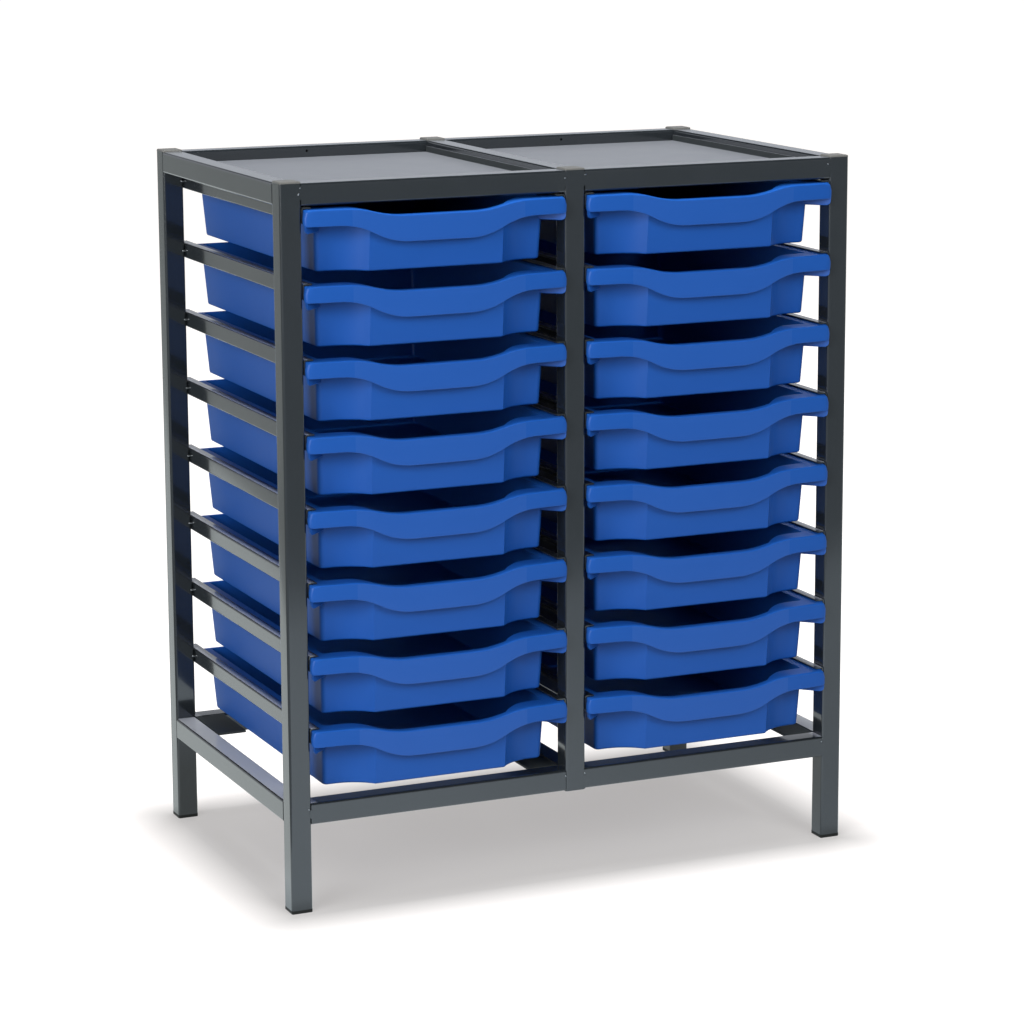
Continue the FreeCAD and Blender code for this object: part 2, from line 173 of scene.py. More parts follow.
@dataclass(frozen=True)
class PowderCoat:
    """Polyester powder coat, sprayed and baked on steel.

    A glossy film with a faint orange peel, which mirrors the room. On the upward faces that lie open a
    lighter tone takes the film's place: dust with a painted sheen at the top of the unit, and a paler painted
    sheen only, lower down.
    """

    name: str
    colour: str
    tint: str
    roughness: float = 0.16
    roughness_swing: tuple[float, float] = (-0.03, 0.04)
    refraction: float = 1.5
    film: float = 1.0
    film_roughness: float = 0.07
    dust_and_sheen: str = "#616469"  # dust and a painted sheen of the bright room, on the open upward faces at the top of the unit
    low_painted_sheen: str = "#BBBEC4"  # painted sheen on the open upward faces lower down, standing for the light that the bottom rails' tops catch
    level: Change = Change(0.93, 0.99)  # upward part of the normal, from the clean film to the dust and painted sheen
    open_side: Change = Change(318 * MM, 326 * MM)  # distance from the middle, from covered to open
    high: Change = Change(700 * MM, 780 * MM)  # height, from sheltered to open, and from the low painted sheen to the upper dust and sheen
    peel: float = 2.6 * MM  # width of the orange peel's waves
    peel_depth: float = 0.006 * MM
    drift: float = 60 * MM  # width of the slow patches in colour and gloss

    def build(self) -> bpy.types.Material:
        """Builds the material: slow drift in colour and gloss under the fine peel, hazy and lighter where
        dust and a painted sheen lie.

        Returns:
            The material.
        """
        material, tree, output = new_material(self.name)
        place = add_node(tree, "ShaderNodeTexCoord").outputs["Object"]
        drift = add_node(tree, "ShaderNodeTexNoise", {"Scale": waves_per_metre(self.drift), "Detail": 3.0},
                         {"Vector": place})
        colour = add_node(tree, "ShaderNodeMix", {
            "data_type": "RGBA", 6: linear(self.colour), 7: linear(self.tint)},
            {0: drift.outputs["Fac"]})
        swing = Change(0.0, 1.0, *(self.roughness + part for part in self.roughness_swing))
        gloss = add_node(tree, "ShaderNodeMapRange", swing.settings(), {"Value": drift.outputs["Fac"]})
        peel = add_node(tree, "ShaderNodeTexNoise", {"Scale": waves_per_metre(self.peel), "Detail": 1.0},
                        {"Vector": place})
        bump = add_node(tree, "ShaderNodeBump", {"Strength": 1.0, "Distance": self.peel_depth},
                        {"Height": peel.outputs["Fac"]})
        facing = add_node(tree, "ShaderNodeNewGeometry").outputs["Normal"]
        upward = add_node(tree, "ShaderNodeSeparateXYZ", links={0: facing}).outputs["Z"]
        level = add_node(tree, "ShaderNodeMapRange", self.level.settings(), {"Value": upward})
        axes = add_node(tree, "ShaderNodeSeparateXYZ", links={0: place}).outputs
        aside = add_node(tree, "ShaderNodeMath", {"operation": "ABSOLUTE"}, {0: axes["X"]})
        open_side = add_node(tree, "ShaderNodeMapRange", self.open_side.settings(), {
            "Value": aside.outputs[0]})
        high = add_node(tree, "ShaderNodeMapRange", self.high.settings(), {"Value": axes["Z"]})
        bare = add_node(tree, "ShaderNodeMath", {"operation": "MAXIMUM"}, {
            0: high.outputs[0], 1: open_side.outputs[0]})
        # open upward faces lose the film and take a lighter tone: dust and painted sheen
        dust_and_sheen_share = add_node(tree, "ShaderNodeMath", {"operation": "MULTIPLY"}, {
            0: bare.outputs[0], 1: level.outputs[0]})
        film = add_node(tree, "ShaderNodeMapRange", Change(first=self.film, last=0.0).settings(), {
            "Value": dust_and_sheen_share.outputs[0]})
        # lighter tone of those faces: the pale painted sheen low down, dust and painted sheen at the top
        dust_and_sheen = add_node(tree, "ShaderNodeMix", {
            "data_type": "RGBA", 6: linear(self.low_painted_sheen), 7: linear(self.dust_and_sheen)}, {0: high.outputs[0]})
        skin = add_node(tree, "ShaderNodeMix", {"data_type": "RGBA"}, {
            0: dust_and_sheen_share.outputs[0], 6: colour.outputs[2], 7: dust_and_sheen.outputs[2]})
        shader = add_node(tree, "ShaderNodeBsdfPrincipled", {
            "IOR": self.refraction, "Coat Roughness": self.film_roughness}, {
            "Base Color": skin.outputs[2], "Roughness": gloss.outputs[0], "Normal": bump.outputs[0],
            "Coat Normal": bump.outputs[0], "Coat Weight": film.outputs[0]})
        tree.links.new(shader.outputs[0], output.inputs["Surface"])
        return material


@dataclass(frozen=True)
class MouldedPlastic:
    """Injection-moulded thermoplastic: a satin skin with a very fine grain off the mould.

    The mould's own grain is about 0.2 mm wide. It is drawn coarser, so that it shows.
    """

    name: str
    colour: str
    tint: str
    roughness: float = 0.42
    roughness_swing: tuple[float, float] = (-0.03, 0.05)
    refraction: float = 1.49
    reflectance: float = 0.26
    grain: float = 0.9 * MM
    grain_depth: float = 0.010 * MM
    flow: float = 70 * MM  # width of the flow marks

    def build(self) -> bpy.types.Material:
        """Builds the material: faint flow marks in the colour under the grain.

        Returns:
            The material.
        """
        material, tree, output = new_material(self.name)
        place = add_node(tree, "ShaderNodeTexCoord").outputs["Object"]
        flow = add_node(tree, "ShaderNodeTexNoise", {"Scale": waves_per_metre(self.flow), "Detail": 2.0},
                        {"Vector": place})
        colour = add_node(tree, "ShaderNodeMix", {
            "data_type": "RGBA", 6: linear(self.colour), 7: linear(self.tint)}, {0: flow.outputs["Fac"]})
        grain = add_node(tree, "ShaderNodeTexNoise", {"Scale": waves_per_metre(self.grain), "Detail": 2.0},
                         {"Vector": place})
        swing = Change(0.0, 1.0, *(self.roughness + part for part in self.roughness_swing))
        gloss = add_node(tree, "ShaderNodeMapRange", swing.settings(), {"Value": grain.outputs["Fac"]})
        bump = add_node(tree, "ShaderNodeBump", {"Strength": 1.0, "Distance": self.grain_depth},
                        {"Height": grain.outputs["Fac"]})
        shader = add_node(tree, "ShaderNodeBsdfPrincipled", {
            "IOR": self.refraction, "Specular IOR Level": self.reflectance}, {
            "Base Color": colour.outputs[2], "Roughness": gloss.outputs[0], "Normal": bump.outputs[0]})
        tree.links.new(shader.outputs[0], output.inputs["Surface"])
        return material


@dataclass(frozen=True)
class WeldMetal:
    """Weld metal that shows through a thin film: small bright, slightly uneven spots."""

    name: str
    colour: str
    roughness: float = 0.32
    ripple: float = 0.8 * MM  # width of the frozen ripples
    ripple_depth: float = 0.05 * MM

    def build(self) -> bpy.types.Material:
        """Builds the material: bare metal with frozen ripples.

        Returns:
            The material.
        """
        material, tree, output = new_material(self.name)
        place = add_node(tree, "ShaderNodeTexCoord").outputs["Object"]
        ripple = add_node(tree, "ShaderNodeTexNoise", {"Scale": waves_per_metre(self.ripple)},
                          {"Vector": place})
        bump = add_node(tree, "ShaderNodeBump", {"Distance": self.ripple_depth},
                        {"Height": ripple.outputs["Fac"]})
        shader = add_node(tree, "ShaderNodeBsdfPrincipled", {
            "Base Color": linear(self.colour), "Metallic": 1.0, "Roughness": self.roughness},
            {"Normal": bump.outputs[0]})
        tree.links.new(shader.outputs[0], output.inputs["Surface"])
        return material


# ---- mesh helpers ----------------------------------------------------------------------------

def finish_piece(mesh: bmesh.types.BMesh, name: str, body: str, nodes: tuple[str, ...],
                 material: bpy.types.Material) -> bpy.types.Object:
    """Turns a bmesh into a piece that rides on a body, and reports it.

    Args:
        mesh: geometry in place, in metres; it is freed.
        name: name of the piece.
        body: body that carries it.
        nodes: CAD nodes that it stands for.
        material: finish of the piece.

    Returns:
        The new object.
    """
    bmesh.ops.recalc_face_normals(mesh, faces=mesh.faces)
    for face in mesh.faces:
        face.smooth = True
    for edge in mesh.edges:
        edge.smooth = edge.calc_face_angle(math.pi) < math.radians(CRISP_TURN)
    data = bpy.data.meshes.new(name)
    mesh.to_mesh(data)
    mesh.free()
    data.materials.append(material)
    piece = bpy.data.objects.new(name, data)
    bpy.context.scene.collection.objects.link(piece)
    weighted = piece.modifiers.new("even_shading", "WEIGHTED_NORMAL")
    weighted.keep_sharp = True
    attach(piece, body)
    if nodes:
        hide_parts(*nodes)
    LOG.info("%s: %d faces", name, len(data.polygons))
    return piece


def block(low: Vector, high: Vector) -> bmesh.types.BMesh:
    """Makes a box.

    Args:
        low: lowest corner.
        high: highest corner.

    Returns:
        New bmesh of the box.
    """
    mesh = bmesh.new()
    bmesh.ops.create_cube(mesh, size=1.0)
    bmesh.ops.scale(mesh, vec=high - low, verts=mesh.verts)
    bmesh.ops.translate(mesh, vec=(low + high) / 2, verts=mesh.verts)
    return mesh


def soften(mesh: bmesh.types.BMesh, edges: list[bmesh.types.BMEdge], radius: float, segments: int) -> None:
    """Rounds edges.

    Args:
        mesh: geometry that holds the edges.
        edges: edges to round.
        radius: width of the rounding.
        segments: faces across it.
    """
    bmesh.ops.bevel(mesh, geom=edges, offset=radius, offset_type="OFFSET", segments=segments, profile=0.5,
                    affect="EDGES", material=-1, clamp_overlap=True)


def edges_along(mesh: bmesh.types.BMesh, axis: Axis) -> list[bmesh.types.BMEdge]:
    """Finds the edges that run along an axis.

    Args:
        mesh: geometry to search.
        axis: the axis.

    Returns:
        The edges.
    """
    runs = ((edge, edge.verts[1].co - edge.verts[0].co) for edge in mesh.edges)
    return [edge for edge, run in runs if abs(run.normalized()[axis.value]) > PARALLEL]


def moved_verts(grown: dict[str, list]) -> list[bmesh.types.BMVert]:
    """Vertices of what an extrusion has grown."""
    return [item for item in grown["geom"] if isinstance(item, bmesh.types.BMVert)]


def profile_bar(points: list[tuple[float, float]], y_low: float, y_high: float) -> bmesh.types.BMesh:
    """Bar of constant section along Y.

    Args:
        points: corners (x, z) of the section in order.
        y_low: front end.
        y_high: back end.

    Returns:
        New bmesh of the closed bar.
    """
    mesh = bmesh.new()
    corners = [mesh.verts.new((x, y_low, z)) for x, z in points]
    grown = bmesh.ops.extrude_face_region(mesh, geom=[mesh.faces.new(corners)])
    bmesh.ops.translate(mesh, vec=Axis.Y.vector(y_high - y_low), verts=moved_verts(grown))
    return mesh


def join(meshes: list[bmesh.types.BMesh]) -> bmesh.types.BMesh:
    """Puts several meshes in one and frees them.

    Args:
        meshes: the meshes.

    Returns:
        New bmesh that holds them all.
    """
    whole = bmesh.new()
    for part in meshes:
        data = bpy.data.meshes.new("part")
        part.to_mesh(data)
        part.free()
        whole.from_mesh(data)
        bpy.data.meshes.remove(data)
    return whole


# ---- frame -----------------------------------------------------------------------------------

@dataclass
class TubeFrame:
    """Posts and rails of welded square tube, flat corner plates and recessed top panels."""

    coat: bpy.types.Material
    # light grey painted on the panels' open tops as a sheen of the bright room
    panel_top_painted_sheen: bpy.types.Material
    matt_coat: bpy.types.Material
    corner_radius: float = 2.8 * MM
    round_segments: int = 5  # faces across each rounded corner or fold
    wall: float = 1.5 * MM
    open_depth: float = 30 * MM  # how far the open ends are hollowed
    hole_radius: float = 1.6 * MM
    hole_depth: float = 8 * MM
    hole_drop: float = 6 * MM  # from the top of the rail to the middle of the hole
    hole_patch: float = 1.6  # half of the square that is cut out round the hole, as a share of its radius
    hole_cuts: int = 3  # cuts of each side of that square, which make its outline round enough
    hole_inset: float = 0.25  # how far the outline is drawn into the square, as a share of its half
    panel_sheet: float = 1.2 * MM
    panel_bend: float = 2.0 * MM  # outer radius of the panels' folds
    painted_sheen_level: float = 0.9  # upward part of the normal, above which a face is the panel's open top, which gets the light grey of a painted sheen
    plate_edge: float = 0.5 * MM
    plate_segments: int = 2

    def tube(self, node: str) -> None:
        """Replaces one tube node by a tube with rounded corners and open ends.

        Args:
            node: CAD node of the tube.
        """
        low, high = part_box(node)
        size = high - low
        axis = Axis(max(range(3), key=lambda i: size[i]))
        mesh = block(low, high)
        soften(mesh, edges_along(mesh, axis), self.corner_radius, self.round_segments)
        for end in (-1, 1):
            normal = axis.vector(end)
            caps = [face for face in mesh.faces if face.normal.dot(normal) > PARALLEL]
            bmesh.ops.inset_region(mesh, faces=caps, thickness=self.wall)
            grown = bmesh.ops.extrude_face_region(mesh, geom=caps)
            bmesh.ops.delete(mesh, geom=caps, context="FACES_ONLY")
            bmesh.ops.translate(mesh, vec=axis.vector(-end * self.open_depth), verts=moved_verts(grown))
            mesh.normal_update()
        if node.startswith("top_rail_back"):
            self.drill(mesh, Vector(((low.x + high.x) / 2, low.y, high.z - self.hole_drop)))
        finish_piece(mesh, node + "_tube", FRAME_BODY, (node,), self.coat)

    def front_face(self, mesh: bmesh.types.BMesh, place: Vector) -> bmesh.types.BMFace:
        """Finds the face that looks forward and lies nearest to a place.

        Args:
            mesh: geometry to search.
            place: the place.

        Returns:
            The face.
        """
        faces = [face for face in mesh.faces if face.normal.y < -PARALLEL]
        return min(faces, key=lambda face: (face.calc_center_median() - place).length)

    def drill(self, mesh: bmesh.types.BMesh, centre: Vector) -> None:
        """Sinks a small round hole into the front face of a rail.

        Args:
            mesh: rail that runs along X.
            centre: middle of the hole on that face.
        """
        half = self.hole_radius * self.hole_patch
        for axis in (Axis.X, Axis.Z):
            for end in (-1, 1):
                face = self.front_face(mesh, centre)
                bmesh.ops.bisect_plane(mesh, geom=[face, *face.edges, *face.verts],
                                       plane_co=centre + axis.vector(end * half), plane_no=axis.vector())
        face = self.front_face(mesh, centre)
        bmesh.ops.bisect_edges(mesh, edges=face.edges[:], cuts=self.hole_cuts)
        bmesh.ops.inset_region(mesh, faces=[face], thickness=half * self.hole_inset)
        for vert in face.verts:
            vert.co = centre + (vert.co - centre).normalized() * self.hole_radius
        grown = bmesh.ops.extrude_face_region(mesh, geom=[face])
        bmesh.ops.delete(mesh, geom=[face], context="FACES_ONLY")
        bmesh.ops.translate(mesh, vec=Axis.Y.vector(self.hole_depth), verts=moved_verts(grown))

    def tubes(self) -> None:
        """Replaces every post and rail."""
        kinds = ("leg_front", "leg_back", "post_front", "post_back", "top_rail", "bottom_rail")
        for node in sorted(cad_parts):
            if node.startswith(kinds):
                self.tube(node)

    def panel(self, side: str) -> None:
        """Replaces a top panel by a sheet with rounded folds along both sides; its open top is painted light
        grey as a sheen of the bright room, while its folds keep the matt graphite.

        Args:
            side: column that it covers.
        """
        node = "top_panel_" + side
        low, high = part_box(node)
        sheet = self.panel_sheet
        floor = low.z + sheet
        points = [
            (low.x, low.z), (high.x, low.z), (high.x, high.z), (high.x - sheet, high.z),
            (high.x - sheet, floor), (low.x + sheet, floor), (low.x + sheet, high.z), (low.x, high.z),
        ]
        mesh = profile_bar(points, low.y, high.y)
        runs = edges_along(mesh, Axis.Y)
        outer = [edge for edge in runs if abs(edge.verts[0].co.z - low.z) < NEAR]
        inner = [edge for edge in runs if abs(edge.verts[0].co.z - floor) < NEAR]
        soften(mesh, outer, self.panel_bend, self.round_segments)
        soften(mesh, inner, self.panel_bend - sheet, self.round_segments)
        piece = finish_piece(mesh, node + "_sheet", FRAME_BODY, (node,), self.panel_top_painted_sheen)
        piece.data.materials.append(self.matt_coat)
        # the open top gets the light grey of the painted sheen, the folds the matt graphite
        for face in piece.data.polygons:
            face.material_index = 0 if face.normal.z > self.painted_sheen_level else 1

    def corner_plates(self) -> None:
        """Replaces the flat corner plates by plates with broken edges."""
        source = bmesh.new()
        source.from_mesh(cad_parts["corner_plates"].data)
        bmesh.ops.remove_doubles(source, verts=source.verts, dist=MM / 100)
        plates = []
        left = set(source.verts)
        for seed in source.verts:
            if seed not in left:
                continue
            left.remove(seed)
            island, queue = {seed}, [seed]
            while queue:
                vert = queue.pop()
                reached = {link.other_vert(vert) for link in vert.link_edges} & left
                left -= reached
                island |= reached
                queue += reached
            low = Vector([min(vert.co[i] for vert in island) for i in range(3)])
            high = Vector([max(vert.co[i] for vert in island) for i in range(3)])
            plate = block(low, high)
            soften(plate, plate.edges[:], self.plate_edge, self.plate_segments)
            plates.append(plate)
        source.free()
        finish_piece(join(plates), "corner_plates_flat", FRAME_BODY, ("corner_plates",),
                     self.matt_coat)

    def build(self) -> None:
        """Replaces the tubes, the panels and the plates."""
        self.tubes()
        for side in COLUMNS:
            self.panel(side)
        self.corner_plates()


def channel_levels(node: str) -> list[tuple[float, float]]:
    """Works out where the channels of a set lie.

    Args:
        node: CAD node of the set.

    Returns:
        Bottom and top of each channel, from the highest one down.
    """
    low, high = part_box(node)
    height = high.z - low.z - (TRAYS_PER_COLUMN - 1) * TRAY_PITCH
    tops = [high.z - row * TRAY_PITCH for row in range(TRAYS_PER_COLUMN)]
    return [(top - height, top) for top in tops]


@dataclass
class Runners:
    """Sets of C-shaped channels that carry the tray rims."""

    coat: bpy.types.Material
    sheet: float = 1.5 * MM
    bend: float = 2.0 * MM  # outer radius of the folds
    bend_segments: int = 5
    lip: float = 0.5 * MM  # rounding of the free edges
    lip_segments: int = 2

    def channel(self, low: Vector, high: Vector, opens: int) -> bmesh.types.BMesh:
        """Builds one channel in its box.

        Args:
            low: lowest corner.
            high: highest corner.
            opens: 1 if it opens towards +X, -1 if towards -X.

        Returns:
            New bmesh of the channel.
        """
        back, front = (low.x, high.x) if opens > 0 else (high.x, low.x)
        web = back + opens * self.sheet
        points = [
            (front, low.z), (back, low.z), (back, high.z), (front, high.z), (front, high.z - self.sheet),
            (web, high.z - self.sheet), (web, low.z + self.sheet), (front, low.z + self.sheet),
        ]
        mesh = profile_bar(points, low.y, high.y)
        runs = edges_along(mesh, Axis.Y)
        outer = [edge for edge in runs if abs(edge.verts[0].co.x - back) < NEAR]
        free = [edge for edge in runs if abs(edge.verts[0].co.x - front) < NEAR]
        soften(mesh, outer, self.bend, self.bend_segments)
        soften(mesh, [edge for edge in free if edge.is_valid], self.lip, self.lip_segments)
        return mesh

    def build(self) -> None:
        """Replaces all four sets."""
        for node, opens in RUNNER_SETS:
            low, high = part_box(node)
            channels = [self.channel(Vector((low.x, low.y, bottom)), Vector((high.x, high.y, top)), opens)
                        for bottom, top in channel_levels(node)]
            finish_piece(join(channels), node + "_channels", FRAME_BODY, (node,), self.coat)


@dataclass(frozen=True)
class Spot:
    """One bright spot of weld metal beside the end of a front rail."""

    rail: str
    end: int  # 0 for the rail's left end, 1 for its right one
    aside: float  # from that end, to the right
    drop: float  # below the rail's top
    size: float = 1.0
    lean: float = 0.0  # degrees


@dataclass
class Welds:
    """Weld marks: seams ground flush on the front, small spots beside them and beads behind the runners."""

    coat: bpy.types.Material
    metal: bpy.types.Material
    groove: float = 2.3 * MM  # width and depth of the grooves between posts and rails
    sink: float = 0.02 * MM  # how far the ground seams lie below the front
    open_share: float = 0.28  # lower part of the top rails' grooves that is left open
    bead: Vector = Vector((2.6 * MM, 1.1 * MM, 1.2 * MM))
    bead_shift: float = 0.9 * MM  # away from the tray rims
    scar: Vector = Vector((2.4 * MM, 0.3 * MM, 5.6 * MM))
    spot: Vector = Vector((0.88 * MM, 0.55 * MM, 1.1 * MM))
    spots_seen: tuple[Spot, ...] = (
        Spot("top_rail_front_left", 0, -3.0 * MM, 11.6 * MM, 1.6, 32.0),
        Spot("top_rail_front_left", 0, -1.2 * MM, 5.0 * MM, 0.8),
        Spot("top_rail_front_left", 1, 0.4 * MM, 8.2 * MM, 1.1, 55.0),
        Spot("top_rail_front_right", 0, 0.6 * MM, 5.4 * MM, 1.0, 80.0),
        Spot("top_rail_front_right", 1, -2.6 * MM, 7.5 * MM),
        Spot("bottom_rail_front_left", 0, -2.7 * MM, 7.0 * MM),
        Spot("bottom_rail_front_left", 1, -0.1 * MM, 7.0 * MM),
        Spot("bottom_rail_front_right", 0, -0.7 * MM, 6.5 * MM),
        Spot("bottom_rail_front_right", 1, -0.9 * MM, 6.0 * MM),
    )
    meridians: int = 12
    parallels: int = 8

    def blob(self, centre: Vector, radii: Vector, lean: float = 0.0) -> bmesh.types.BMesh:
        """Builds a small flattened ball.

        Args:
            centre: its middle.
            radii: its radii.
            lean: turn about Y, in degrees.

        Returns:
            New bmesh of the ball.
        """
        mesh = bmesh.new()
        bmesh.ops.create_uvsphere(mesh, u_segments=self.meridians, v_segments=self.parallels, radius=1.0)
        bmesh.ops.scale(mesh, vec=radii, verts=mesh.verts)
        bmesh.ops.rotate(mesh, matrix=Matrix.Rotation(math.radians(lean), 3, "Y"), verts=mesh.verts)
        bmesh.ops.translate(mesh, vec=centre, verts=mesh.verts)
        return mesh

    def seams(self) -> list[bmesh.types.BMesh]:
        """Fills the grooves between posts and front rails where the welds are ground flush.

        Returns:
            New bmeshes of the fillings.
        """
        fills = []
        for level, share, sides in (("top", self.open_share, COLUMNS), ("bottom", 0.0, ("right",))):
            for side in sides:
                low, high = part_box("%s_rail_front_%s" % (level, side))
                foot = low.z + (high.z - low.z) * share
                for near, far in ((low.x - self.groove, low.x), (high.x, high.x + self.groove)):
                    fills.append(block(Vector((near, low.y + self.sink, foot)),
                                       Vector((far, low.y + self.groove, high.z - self.groove))))
        return fills

    def spots(self) -> list[bmesh.types.BMesh]:
        """Builds the bright spots beside the front joints.

        Returns:
            New bmeshes of the spots.
        """
        made = []
        for mark in self.spots_seen:
            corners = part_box(mark.rail)
            place = Vector((corners[mark.end].x + mark.aside, corners[0].y, corners[1].z - mark.drop))
            radii = Vector((self.spot.x, self.spot.y, self.spot.z * mark.size))
            made.append(self.blob(place, radii, mark.lean))
        return made

    def scars(self) -> list[bmesh.types.BMesh]:
        """Builds the low ground ovals over three of the bottom joints.

        Returns:
            New bmeshes of the ovals.
        """
        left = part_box("bottom_rail_front_left")
        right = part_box("bottom_rail_front_right")
        middle = (left[0].z + left[1].z) / 2
        return [self.blob(Vector((x, left[0].y, middle)), self.scar)
                for x in (left[0].x, right[0].x, right[1].x)]

    def beads(self) -> list[bmesh.types.BMesh]:
        """Builds a bead where each runner meets a front and a back post.

        Returns:
            New bmeshes of the beads.
        """
        faces = (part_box("leg_front_left")[1].y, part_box("leg_back_left")[0].y)
        made = []
        for node, opens in RUNNER_SETS:
            low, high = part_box(node)
            x = (low.x if opens > 0 else high.x) - opens * self.bead_shift
            for bottom, top in channel_levels(node):
                made += [self.blob(Vector((x, y, (bottom + top) / 2)), self.bead) for y in faces]
        return made

    def build(self) -> None:
        """Adds all marks to the frame."""
        for name, parts, material in (
                ("weld_seams_ground", self.seams(), self.coat),
                ("weld_scars_ground", self.scars(), self.coat),
                ("weld_spots", self.spots(), self.metal),
                ("weld_beads_runners", self.beads(), self.metal)):
            finish_piece(join(parts), name, FRAME_BODY, (), material)


@dataclass
class Plugs:
    """Plastic plugs: low domed caps on the posts and thin feet under the legs."""

    cap_plastic: bpy.types.Material
    foot_plastic: bpy.types.Material
    tube: float = 25 * MM
    corner_radius: float = 2.2 * MM
    corner_segments: int = 5
    cap_height: float = 2.2 * MM
    cap_slope: float = 1.76 * MM  # how far the domed edge draws in
    foot_height: float = 4.0 * MM
    foot_slope: float = 0.8 * MM
    slope_segments: int = 4

    def plug(self, low: Vector, height: float, slope: float, up: int) -> bmesh.types.BMesh:
        """Builds the visible head of one plug.

        Args:
            low: lowest corner of the head.
            height: height of the head.
            slope: how far its outer face draws in.
            up: 1 if the drawn-in face is on top, -1 if it is below.

        Returns:
            New bmesh of the head.
        """
        mesh = block(low, low + Vector((self.tube, self.tube, height)))
        soften(mesh, edges_along(mesh, Axis.Z), self.corner_radius, self.corner_segments)
        faces = [face for face in mesh.faces if face.normal.z * up > PARALLEL]
        ring = dict.fromkeys(edge for face in faces for edge in face.edges)
        soften(mesh, list(ring), slope, self.slope_segments)
        return mesh

    def build(self) -> None:
        """Replaces the caps and the feet."""
        low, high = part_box("post_caps")
        columns = (low.x, (low.x + high.x - self.tube) / 2, high.x - self.tube)
        rows = (low.y, high.y - self.tube)
        top = high.z - self.cap_height
        caps = [self.plug(Vector((x, y, top)), self.cap_height, self.cap_slope, 1)
                for x in columns for y in rows]
        finish_piece(join(caps), "post_caps_domed", FRAME_BODY, ("post_caps",), self.cap_plastic)
        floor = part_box("leg_feet")[0].z
        feet = [self.plug(Vector((x, y, floor)), self.foot_height, self.foot_slope, -1)
                for x in (columns[0], columns[2]) for y in rows]
        finish_piece(join(feet), "leg_feet_plugs", FRAME_BODY, ("leg_feet",), self.foot_plastic)


# ---- trays -----------------------------------------------------------------------------------

class Stretch(Enum):
    """Stretches of half the tray's outline, from the middle of the front to the middle of the back."""

    FLAT = "flat middle of the bowed front"
    BOW = "curved slope beside it"
    SHOULDER = "front wall beside the corner"
    FRONT_CORNER = "front corner"
    SIDE = "side"
    BACK_CORNER = "back corner"
    BACK = "back"


@dataclass(frozen=True)
class Station:
    """One place on half the outline: a stretch and how far along it, from 0 to 1."""

    stretch: Stretch
    along: float


@dataclass(frozen=True)
class Dip:
    """Edge that sinks from its ends to its middle along two S-shaped slopes."""

    drop: float  # from the ends down to the middle
    outer: float  # distance from the middle at which an unrounded slope would start
    inner: float  # distance at which it would end
    radius: float  # of the rounding at both ends of the slope

    def depth(self, x: float) -> float:
        """Depth below the ends at a distance from the middle.

        Args:
            x: distance from the middle.

        Returns:
            Depth, from 0 at the ends to the full drop.
        """
        x = abs(x)
        if x < (self.outer + self.inner) / 2:
            return self.drop - self.depth(self.outer + self.inner - x)
        slope = math.atan2(self.drop, self.outer - self.inner)
        reach = self.radius * math.tan(slope / 2)
        if x > self.outer + reach:
            return 0.0
        if x > self.outer - reach * math.cos(slope):
            return self.radius - math.sqrt(self.radius ** 2 - (self.outer + reach - x) ** 2)
        return (self.outer - x) * math.tan(slope)


